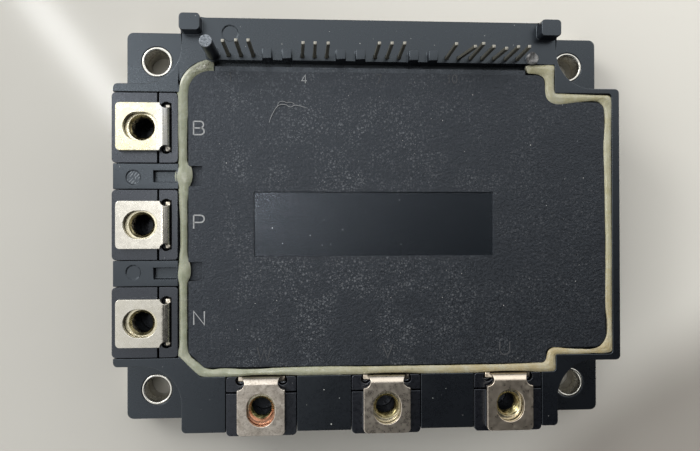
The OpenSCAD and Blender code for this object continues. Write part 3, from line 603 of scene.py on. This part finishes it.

# ---------------------------------------------------------------- adhesive
# stations (inner x, y, outer x, y, crest height) along the bead, in mm
BEAD = [
    (-33.0, 31.9, -32.9, 34.55, 21.35), (-33.7, 31.8, -33.5, 34.75, 21.5), (-34.6, 31.6, -34.7, 34.5, 21.62),
    (-35.6, 31.2, -35.9, 34.1, 21.62), (-36.4, 30.7, -37.0, 33.3, 21.6), (-37.1, 30.2, -38.1, 32.55, 21.6),
    (-37.6, 29.5, -39.0, 31.6, 21.6), (-38.0, 28.6, -39.75, 30.45, 21.6), (-38.15, 27.8, -40.25, 29.2, 21.6),
    (-38.25, 26.8, -40.45, 27.6, 21.6), (-38.25, 24.9, -40.5, 25.0, 21.6), (-38.25, 22.9, -40.5, 23.0, 21.6),
    (-38.37, 21.0, -40.5, 21.0, 21.6), (-38.4, 19.0, -40.45, 19.0, 21.6), (-38.38, 17.0, -40.3, 17.0, 21.6),
    (-38.37, 14.6, -40.2, 14.8, 21.6), (-38.3, 12.9, -40.2, 12.9, 21.6), (-37.6, 11.9, -40.3, 12.0, 21.65),
    (-37.4, 11.0, -40.7, 11.1, 21.7), (-37.34, 10.0, -40.95, 10.0, 21.72), (-37.5, 9.0, -40.7, 8.9, 21.7),
    (-37.84, 8.1, -40.25, 8.0, 21.62), (-38.1, 6.3, -40.15, 6.3, 21.6), (-38.35, 4.4, -40.1, 4.4, 21.6),
    (-38.36, 1.5, -39.9, 1.5, 21.6), (-38.36, -1.5, -39.85, -1.5, 21.6), (-38.36, -4.5, -39.85, -4.6, 21.6),
    (-38.3, -6.4, -40.05, -6.6, 21.6), (-37.9, -7.8, -40.15, -8.0, 21.62), (-37.7, -8.9, -40.3, -9.0, 21.7),
    (-37.7, -9.8, -40.55, -10.0, 21.72), (-37.84, -10.8, -40.5, -11.0, 21.7), (-38.35, -12.0, -40.1, -12.3, 21.62),
    (-38.4, -15.0, -40.05, -15.0, 21.6), (-38.4, -19.0, -40.05, -19.0, 21.6), (-38.4, -23.0, -40.05, -23.0, 21.6),
    (-38.3, -25.5, -40.1, -25.2, 21.6), (-37.8, -27.0, -40.4, -26.8, 21.6), (-36.9, -27.8, -39.3, -28.1, 21.62),
    (-35.8, -28.7, -37.9, -29.5, 21.62), (-34.8, -29.5, -36.4, -30.9, 21.62), (-34.0, -29.75, -35.2, -31.4, 21.62),
    (-33.0, -29.8, -33.6, -31.5, 21.62), (-31.0, -29.65, -31.2, -31.5, 21.62), (-28.5, -29.8, -28.5, -31.45, 21.62),
    (-25.0, -29.9, -25.0, -31.2, 21.6), (-22.0, -29.8, -22.0, -31.2, 21.6), (-18.5, -29.65, -18.5, -31.3, 21.6),
    (-14.0, -29.6, -14.0, -31.45, 21.62), (-8.0, -29.6, -8.0, -31.4, 21.62), (-3.0, -29.7, -3.0, -31.4, 21.6),
    (1.0, -29.72, 1.0, -31.2, 21.6), (6.0, -29.7, 6.0, -31.2, 21.6), (11.0, -29.7, 11.0, -31.45, 21.6),
    (17.0, -29.72, 17.0, -31.5, 21.6), (22.0, -29.7, 22.0, -31.45, 21.6), (27.0, -29.7, 27.0, -31.2, 21.6),
    (31.5, -29.62, 31.5, -31.25, 21.6), (34.5, -29.5, 34.8, -31.45, 21.6), (35.6, -29.45, 36.4, -31.5, 21.65),
    (36.4, -29.4, 38.2, -31.5, 21.7), (36.75, -29.2, 39.1, -31.2, 21.72), (37.0, -28.9, 39.3, -30.2, 21.72),
    (37.2, -28.2, 39.25, -29.2, 21.7), (37.4, -27.5, 39.2, -28.5, 21.66), (37.75, -26.85, 39.35, -27.95, 21.62),
    (38.6, -26.35, 39.9, -27.9, 21.6), (39.6, -26.3, 40.4, -27.85, 21.58), (41.2, -26.5, 41.4, -27.85, 21.52),
    (43.2, -26.65, 43.3, -27.85, 21.48), (45.0, -26.75, 45.0, -27.8, 21.42), (46.4, -26.85, 46.4, -27.7, 21.34),
    (47.6, -26.7, 47.8, -27.65, 21.3), (48.6, -26.35, 49.0, -27.7, 21.36), (49.2, -25.9, 50.4, -27.65, 21.5),
    (49.7, -25.3, 51.6, -27.3, 21.58), (50.2, -24.5, 51.75, -26.2, 21.5), (50.55, -23.4, 51.75, -24.2, 21.45),
    (50.6, -22.0, 51.7, -22.2, 21.45), (50.5, -20.0, 51.7, -20.0, 21.5), (50.1, -17.5, 51.7, -17.5, 21.55),
    (50.0, -15.0, 51.7, -15.0, 21.58), (50.2, -11.0, 51.7, -11.0, 21.58), (50.25, -7.5, 51.75, -7.5, 21.58),
    (50.3, -3.5, 51.75, -3.5, 21.58), (50.2, 0.0, 51.7, 0.0, 21.6), (50.1, 4.0, 51.7, 4.0, 21.6),
    (49.95, 9.0, 51.7, 9.0, 21.62), (49.8, 14.0, 51.7, 14.0, 21.62), (49.78, 18.0, 51.7, 18.0, 21.6),
    (50.15, 20.8, 51.75, 20.8, 21.58), (50.25, 22.8, 51.8, 22.8, 21.58), (50.0, 24.6, 51.85, 24.8, 21.62),
    (49.6, 25.6, 51.85, 26.4, 21.72), (48.9, 26.2, 51.4, 27.6, 21.76), (47.9, 26.42, 49.6, 27.8, 21.74),
    (46.8, 26.42, 47.6, 27.8, 21.64), (45.5, 26.3, 46.0, 27.85, 21.62), (43.5, 25.95, 43.9, 27.95, 21.66),
    (41.5, 25.65, 41.8, 28.0, 21.7), (40.2, 25.5, 40.4, 28.05, 21.7), (39.2, 25.6, 39.55, 28.15, 21.72),
    (38.2, 26.0, 39.25, 28.5, 21.76), (37.5, 26.6, 39.2, 29.2, 21.76), (37.1, 27.5, 39.2, 30.1, 21.74),
    (37.05, 29.0, 39.2, 31.4, 21.72), (37.07, 30.6, 39.25, 32.8, 21.74), (36.7, 31.4, 39.25, 33.9, 21.76),
    (36.2, 31.75, 38.2, 34.2, 21.72), (35.6, 32.0, 36.4, 34.1, 21.68), (34.9, 32.1, 34.9, 34.1, 21.62),
    (34.0, 32.2, 33.7, 34.0, 21.55), (33.4, 32.3, 32.9, 33.75, 21.4),
]


def catmull(pts, per=0.4):
    """Evenly spaced stations along a smooth curve through the given ones."""
    out = []
    for i in range(len(pts) - 1):
        p0, p1, p2, p3 = pts[max(i - 1, 0)], pts[i], pts[i + 1], pts[min(i + 2, len(pts) - 1)]
        length = max(math.dist(p1[:2], p2[:2]), math.dist(p1[2:4], p2[2:4]))
        n = max(1, round(length / per))
        for k in range(n):
            t = k / n
            out.append([0.5 * (2 * b + (c - a) * t + (2 * a - 5 * b + 4 * c - d) * t * t
                               + (3 * b - a - 3 * c + d) * t ** 3) for a, b, c, d in zip(p0, p1, p2, p3)])
    out.append(list(pts[-1]))
    return out


def near(x, y, cx, cy, r):
    return max(0.0, 1 - math.hypot(x - cx, y - cy) / r)


rows = []
stations = catmull(BEAD)
across = 14
for i, (ix, iy, ox, oy, crest) in enumerate(stations):
    row = []
    end = min(1.0, (min(i, len(stations) - 1 - i) + 0.5) / 2.5)
    lump = 0.07 * noise.noise(Vector((ix * 0.35, iy * 0.35, 3.0)))
    wob = 0.10 * noise.noise(Vector((ix * 0.5, iy * 0.5, 9.0)))
    wob2 = 0.08 * noise.noise(Vector((ix * 0.6, iy * 0.6, 19.0)))
    wide = math.hypot(ox - ix, oy - iy)
    for k in range(across + 1):
        w = k / across
        u = w + (wob if k == 0 else 0) / wide * 0.6 - (wob2 if k == across else 0) / wide * 0.6
        x, y = ix + (ox - ix) * u, iy + (oy - iy) * u
        edge = 21.26
        rise = (crest + lump * 1.3 - edge) * (1 - abs(2 * w - 1) ** 2.6)
        # off-centre ridge and small ripples
        rise += 0.045 * math.exp(-((w - 0.62) / 0.13) ** 2) * (1 + noise.noise(Vector((x * 0.2, y * 0.2, 31.0))))
        rise += 0.03 * noise.noise(Vector((x * 1.3, y * 1.3, 5.0))) * min(1, 4 * w, 4 - 4 * w)
        # rough lump in the far corner, torn skin in the near one
        rough = near(x, y, 49.8, 26.6, 2.6) + 0.8 * near(x, y, 50.2, -26.4, 2.4) + 0.55 * near(x, y, -36.6, 33.2, 3.4)
        rise += rough * 0.24 * noise.noise(Vector((x * 2.6, y * 2.6, 12.0))) * min(1, 3 * w, 3 - 3 * w)
        row.append((x, y, edge + rise * end))
    low = 20.1
    a, b = row[0], row[-1]
    row = [(a[0] + (b[0] - a[0]) * 0.2, a[1] + (b[1] - a[1]) * 0.2, low)] + row + [
        (b[0] - (b[0] - a[0]) * 0.2, b[1] - (b[1] - a[1]) * 0.2, low)]
    rows.append(row)
bm = grid_mesh(rows, "bead", close_v=True, caps=True)
place(to_object(bm, "glue_bead", sharp=70.0, weighted=False), "bead", "adhesive", "adhesive_bead")


# ---------------------------------------------------------------- small pieces on the cover
def stroke(pts, width, z0, z1, closed=False):
    """A raised stroke through points in mm, with mitred sides and softened top."""
    P = [Vector(p) for p in pts]
    n = len(P)
    rows = []
    for i in range(n):
        a = P[(i - 1) % n] if (closed or i > 0) else P[i]
        b = P[(i + 1) % n] if (closed or i < n - 1) else P[i]
        d1 = (P[i] - a).normalized() if (P[i] - a).length > 1e-9 else (b - P[i]).normalized()
        d2 = (b - P[i]).normalized() if (b - P[i]).length > 1e-9 else d1
        d = (d1 + d2).normalized() if (d1 + d2).length > 0.2 else d1
        s = Vector((-d.y, d.x))
        h = width / 2 / max(0.6, abs(d.dot(d1)))
        rows.append([(*(P[i] + s * h), z0), (*(P[i] + s * h * 0.72), z1), (*(P[i] - s * h * 0.72), z1), (*(P[i] - s * h), z0)])
    return grid_mesh(rows, "s", close_u=closed, close_v=True, caps=not closed)


def bow(cx, cy, rx, ry, a0, a1, n=10):
    return [(cx + rx * math.cos(math.radians(a0 + (a1 - a0) * k / n)),
             cy + ry * math.sin(math.radians(a0 + (a1 - a0) * k / n))) for k in range(n + 1)]


def glyph(ch):
    """Strokes in a box one unit high, 0.78 wide, centred."""
    w, h = 0.39, 0.5
    return {
        "B": [[(-w, -h), (-w, h)], [(-w, h), (0.1, h)] + bow(0.1, 0.25, 0.24, 0.25, 90, -90) + [(-w, 0)],
              [(0.1, 0)] + bow(0.12, -0.25, 0.27, 0.25, 90, -90) + [(-w, -h)]],
        "P": [[(-w, -h), (-w, h)], [(-w, h), (0.12, h)] + bow(0.12, 0.23, 0.27, 0.27, 90, -90) + [(-w, -0.04)]],
        "N": [[(-w, -h), (-w, h), (w, -h), (w, h)]],
        "W": [[(-0.5, h), (-0.25, -h), (0, h * 0.6), (0.25, -h), (0.5, h)]],
        "V": [[(-w, h), (0, -h), (w, h)]],
        "U": [[(-w, h), (-w, -0.15)] + bow(0, -0.12, w, 0.38, 180, 360) + [(w, h)]],
        "1": [[(-0.16, 0.28), (0.05, h), (0.05, -h)]],
        "4": [[(0.16, -h), (0.16, h), (-0.34, -0.2), (0.36, -0.2)]],
        "7": [[(-0.3, h), (0.32, h), (-0.1, -h)]],
        "0": [bow(0, 0, 0.3, 0.5, 90, 450, 20)],
    }[ch]


def text_mesh(text, cx, cy, size, width, z0=21.36, z1=21.47, wide=1.0):
    bms = []
    step = 0.72 * size
    for i, ch in enumerate(text):
        ox = cx + (i - (len(text) - 1) / 2) * step
        for line in glyph(ch):
            pts = [(ox + x * size * wide, cy + y * size) for x, y in line]
            closed = ch == "0"
            if closed:
                pts = pts[:-1]
            bms.append(stroke(pts, width, z0, z1, closed))
    return bms


# moulded marks painted lighter than the cover plastic: painted highlights
for name, text, x, y in (("b", "B", -36.0, 20.0), ("p", "P", -36.0, 0.6), ("n", "N", -36.0, -19.2),
                         ("w", "W", -22.7, -26.8), ("v", "V", 3.1, -26.5), ("u", "U", 28.1, -26.3)):
    ob = to_object(join(text_mesh(text, x, y, 2.75, 0.36)), "letter_" + name, smooth=False)
    place(ob, "mark_" + ("left" if name in "bpn" else "front"), "cover_plastic")
for text, x, y in (("1", -29.6, 30.6), ("4", -14.3, 30.4), ("7", 1.4, 30.6), ("10", 16.9, 30.8)):
    ob = to_object(join(text_mesh(text, x, y, 1.75, 0.24, wide=0.9)), "number_" + text, smooth=False)
    place(ob, "mark_left" if text == "4" else "mark_front", "cover_plastic")


def tube(pts, radius, sides=6):
    rows = []
    P = [Vector(p) for p in pts]
    for i, p in enumerate(P):
        d = (P[min(i + 1, len(P) - 1)] - P[max(i - 1, 0)]).normalized()
        s = d.cross(Vector((0, 0, 1))).normalized()
        u = s.cross(d).normalized()
        taper = 0.45 + 0.55 * math.sin(math.pi * (i + 0.5) / len(P)) ** 0.5
        rows.append([tuple(p + (s * math.cos(2 * math.pi * k / sides) + u * math.sin(2 * math.pi * k / sides)) * radius * taper)
                     for k in range(sides)])
    return grid_mesh(rows, "t", close_v=True, caps=True)


def smooth_path(pts, per=0.3):
    out = []
    for i in range(len(pts) - 1):
        p0, p1, p2, p3 = pts[max(i - 1, 0)], pts[i], pts[i + 1], pts[min(i + 2, len(pts) - 1)]
        n = max(2, round(math.dist(p1, p2) / per))
        for k in range(n):
            t = k / n
            out.append([0.5 * (2 * b + (c - a) * t + (2 * a - 5 * b + 4 * c - d) * t * t
                               + (3 * b - a - 3 * c + d) * t ** 3) for a, b, c, d in zip(p0, p1, p2, p3)])
    out.append(list(pts[-1]))
    return out


# the hair that lies on the cover, doubled back on itself
hair = smooth_path([(-21.6, 21.2, 21.46), (-21.0, 22.8, 21.5), (-20.2, 24.2, 21.56), (-19.4, 24.9, 21.6), (-18.2, 25.0, 21.56),
                    (-17.2, 24.5, 21.5), (-16.2, 24.9, 21.54), (-15.0, 24.7, 21.5), (-13.6, 24.3, 21.46)])
loop = smooth_path([(-19.9, 24.3, 21.5), (-19.6, 25.4, 21.56), (-18.7, 25.7, 21.6), (-17.9, 25.4, 21.56), (-17.0, 25.5, 21.5),
                    (-16.3, 25.1, 21.48)])
place(to_object(join([tube(hair, 0.075), tube(loop, 0.065)]), "hair", weighted=False), "fibre", "cover_plastic")


def mote(x, y, z, r, rg):
    """A small irregular crumb lying on a surface at z."""
    bm = bmesh.new()
    bmesh.ops.create_icosphere(bm, subdivisions=1, radius=1.0)
    sx, sy, sz = (0.7 + 0.6 * rg.random() for _ in range(3))
    for v in bm.verts:
        k = 0.8 + 0.4 * rg.random()
        v.co = Vector((x + v.co.x * r * sx * k, y + v.co.y * r * sy * k, z + max(-0.25, v.co.z) * r * 0.6 * sz * k)) * MM
    return bm


DUST = [(-26.4, 37.0, 21.5, 0.10), (-18.9, 37.6, 21.5, 0.13), (-14.3, 37.5, 21.5, 0.13), (-2.6, 38.0, 21.5, 0.11),
        (0.2, 39.0, 21.5, 0.09), (8.2, 39.2, 21.5, 0.10), (13.2, 37.9, 21.5, 0.12), (-9.0, 40.4, 21.5, 0.08),
        (24.0, 40.1, 21.5, 0.09), (30.2, 38.2, 21.5, 0.08), (-46.9, -39.9, 7.8, 0.09), (-8.8, -41.6, 21.5, 0.15),
        (-10.3, -34.4, 21.5, 0.12), (-13.9, -37.5, 21.5, 0.10), (-7.1, -36.2, 21.5, 0.08), (-2.2, -39.7, 21.5, 0.08),
        (12.6, -36.6, 21.5, 0.10), (19.0, -40.3, 21.5, 0.09), (15.4, -34.6, 21.5, 0.08), (43.6, -12.2, 21.4, 0.10),
        (45.4, 9.9, 21.4, 0.10), (33.9, 16.9, 21.4, 0.12), (27.9, -17.2, 21.4, 0.10), (-30.4, 12.8, 21.4, 0.09),
        (6.4, 17.7, 21.4, 0.10), (14.9, 22.0, 21.4, 0.10), (-5.0, 27.1, 21.4, 0.09), (21.4, 27.5, 21.4, 0.10),
        (-28.2, -21.7, 21.4, 0.09), (-1.7, -20.4, 21.4, 0.10), (18.9, -10.4, 21.4, 0.11), (37.3, 4.0, 21.4, 0.09),
        (-52.0, 11.9, 21.5, 0.09), (-27.5, 41.1, 21.5, 0.08), (49.0, 38.8, 7.8, 0.10), (-52.2, 29.4, 21.5, 0.07)]
rg = random.Random(11)
bms = [mote(x, y, z, r, rg) for x, y, z, r in DUST]
for _ in range(150):
    x, y = rg.uniform(-36.5, 47.0), rg.uniform(-28.5, 30.8)
    if rg.random() > 0.75 - x * 0.008:
        continue
    z = 21.28 if (-24.7 < x < 25.7 and -6.6 < y < 6.8) else 21.4
    bms.append(mote(x, y, z, 0.035 + 0.055 * rg.random() ** 2, rg))
place(to_object(join(bms), "dust", smooth=False), "crumb", "cover_plastic")

# torn top of the broken guide post
rows = []
for k, (r, z) in enumerate(((1.28, 21.7), (1.27, 21.95), (1.18, 22.12), (0.95, 22.2), (0.6, 22.12), (0.25, 21.98))):
    row = []
    for j in range(40):
        a = 2 * math.pi * j / 40
        e = noise.noise(Vector((math.cos(a) * 1.6, math.sin(a) * 1.6, r * 2.0)))
        f = noise.noise(Vector((math.cos(a) * 4.0 * r, math.sin(a) * 4.0 * r, 7.0)))
        tall = 0.55 * max(0.0, math.cos(a - 2.2)) + 0.25 * max(0.0, math.cos(a - 5.4))
        row.append((34.2 + r * (1 + 0.06 * e) * math.cos(a), 35.3 + r * (1 + 0.06 * e) * math.sin(a),
                    z + (tall + 0.25 * f) * (0.3 + 0.7 * (k > 0)) * (1.0 if k < 4 else 0.35)))
    rows.append(row)
bm = grid_mesh(rows, "stump", close_v=True, caps=True)
place(to_object(bm, "torn_stump", sharp=45.0, weighted=False), "torn", "case_plastic")

# ---------------------------------------------------------------- CAD nodes that stay
for n, k in {"base_sealant": "sealant", "control_board": "board", "driver_ics": "ic", "board_parts": "smallpart",
             "link_pins": "link", "substrate_solder": "solder", "back_copper": "copper", "ceramic_tiles": "alumina",
             "copper_tracks": "copper", "igbt_chips": "silicon", "diode_chips": "silicon", "temp_sensor": "smallpart",
             "bond_wires": "wire", "gel_fill": "gel"}.items():
    o = nodes[n]
    o.data.materials.clear()
    o.data.materials.append(M[k])
for n in ("case_frame", "cover", "nut_holders", "terminal_blocks", "base_plate", "terminal_nuts", "mounting_bushes",
          "adhesive_bead", "control_pins_1", "control_pins_2", "control_pins_3", "control_pins_4", "terminal_b",
          "terminal_p", "terminal_n", "terminal_w", "terminal_v", "terminal_u"):
    o = nodes[n]
    o.data.materials.clear()
    o.data.materials.append(M[{"case_frame": "case", "cover": "cover", "nut_holders": "holder", "terminal_blocks": "holder",
                               "base_plate": "plate", "terminal_nuts": "nut", "mounting_bushes": "bush",
                               "adhesive_bead": "bead"}.get(n, "pin" if "pins" in n else "term_" + n[-1])])


# ---------------------------------------------------------------- stage and light
def make_floor():
    g = Graph("table")
    f = g.noise(0.012, 4, 0.6, 0.4)
    pale = g.mix(g.remap(f, 0.35, 0.65), (0.57, 0.56, 0.525), (0.60, 0.59, 0.555))
    # painted light falloff: the tabletop is darker to the left and front, brighter to the right and back
    side = g.remap(g.math("ADD", g.x, g.math("MULTIPLY", g.y, 0.35)), -70, 70, 0, 1, True)
    pale = g.mix(side, g.mix(0.5, pale, (0.50, 0.49, 0.465)), g.mix(0.6, pale, (0.86, 0.84, 0.79)))
    # painted shadow on the table at the lower right
    low = g.remap(g.math("SUBTRACT", g.math("MULTIPLY", g.x, 0.55), g.y), 62, 88, 0, 1, True)
    low = g.math("MULTIPLY", low, g.remap(g.x, 20, 60, 0, 1, True))
    base = g.mix(g.math("MULTIPLY", low, 0.75), pale, (0.25, 0.228, 0.208))
    g.set(base=base, rough=0.11, spec=0.5)
    me = bpy.data.meshes.new("table")
    s = 2.0
    me.from_pydata([(-s, -s, -0.00002), (s, -s, -0.00002), (s, s, -0.00002), (-s, s, -0.00002)], [], [(0, 1, 2, 3)])
    ob = bpy.data.objects.new("table", me)
    scene.collection.objects.link(ob)
    me.materials.append(g.mat)


def area(name, loc, aim, sx, sy, watts, color=(1, 1, 1), turn=0.0):
    d = bpy.data.lights.new(name, "AREA")
    d.shape = "RECTANGLE"
    d.size = sx
    d.size_y = sy
    d.energy = watts
    d.color = color
    o = bpy.data.objects.new(name, d)
    o.location = loc
    q = (Vector(aim) - Vector(loc)).to_track_quat("-Z", "Y")
    o.rotation_euler = (q.to_matrix() @ Matrix.Rotation(turn, 3, "Z")).to_euler()
    scene.collection.objects.link(o)
    return o


def make_world():
    """A soft room: bright towards the window at the upper left, dim at the lower right."""
    w = bpy.data.worlds.new("room")
    scene.world = w
    w.use_nodes = True
    t = w.node_tree
    bg = t.nodes["Background"]
    tc = t.nodes.new("ShaderNodeTexCoord")
    sep = t.nodes.new("ShaderNodeSeparateXYZ")
    t.links.new(tc.outputs["Generated"], sep.inputs[0])

    def ramp(sock, stops):
        mp = t.nodes.new("ShaderNodeMapRange")
        mp.inputs["From Min"].default_value = -1.0
        mp.inputs["From Max"].default_value = 1.0
        t.links.new(sock, mp.inputs["Value"])
        r = t.nodes.new("ShaderNodeValToRGB")
        t.links.new(mp.outputs["Result"], r.inputs[0])
        cr = r.color_ramp
        cr.interpolation = "B_SPLINE"
        cr.elements[0].position, cr.elements[0].color = 0.0, (*[stops[0][1] / 2] * 3, 1)
        cr.elements[1].position, cr.elements[1].color = 1.0, (*[stops[-1][1] / 2] * 3, 1)
        for pos, v in stops[1:-1]:
            e = cr.elements.new((pos + 1) / 2)
            e.color = (v / 2, v / 2, v / 2, 1)
        return r.outputs[0]

    up = ramp(sep.outputs[1], FROM_TOP)
    left = ramp(sep.outputs[0], FROM_LEFT)
    top = t.nodes.new("ShaderNodeMath")
    top.operation = "SMOOTH_MAX"
    top.inputs[2].default_value = 0.04
    t.links.new(up, top.inputs[0])
    t.links.new(left, top.inputs[1])
    tint = t.nodes.new("ShaderNodeMix")
    tint.data_type = "RGBA"
    tint.blend_type = "MIX"
    t.links.new(top.outputs[0], tint.inputs[0])
    tint.inputs[6].default_value = (0.0, 0.0, 0.0, 1)
    tint.inputs[7].default_value = (2.0, 1.99, 1.95, 1)
    tint.clamp_factor = False
    t.links.new(tint.outputs[2], bg.inputs["Color"])
    bg.inputs["Strength"].default_value = 1.0


FROM_TOP = [(-1.0, 0.02), (-0.3, 0.02), (-0.15, 0.03), (0.0, 0.17), (0.1, 0.45), (0.19, 0.86), (0.29, 1.45), (0.5, 1.6),
            (1.0, 1.2)]
FROM_LEFT = [(-1.0, 1.2), (-0.4, 1.25), (-0.23, 0.94), (-0.16, 0.58), (-0.1, 0.32), (0.0, 0.07), (0.1, 0.015), (1.0, 0.01)]
make_floor()
make_world()
# key from the upper left, low enough to stay out of the flat reflections
area("key", (-0.62, 0.46, 0.52), (0, 0, 0), 0.34, 0.26, 2.6, (1.0, 0.99, 0.96))
# ceiling lamp whose reflection lies on the smooth field and the left of the cover
area("lamp", (-0.110, 0.062, 1.0), (-0.110, 0.062, 0.0), 0.08, 0.10, 0.45, (1.0, 0.985, 0.96))
# tube whose reflection is the streak on the table
area("tube", (-0.40, 0.29, 1.0), (-0.40, 0.29, 0.0), 0.045, 0.33, 0.42, (0.98, 0.99, 1.0), math.radians(38))
scene.view_settings.view_transform = "Standard"
scene.view_settings.gamma = 0.86
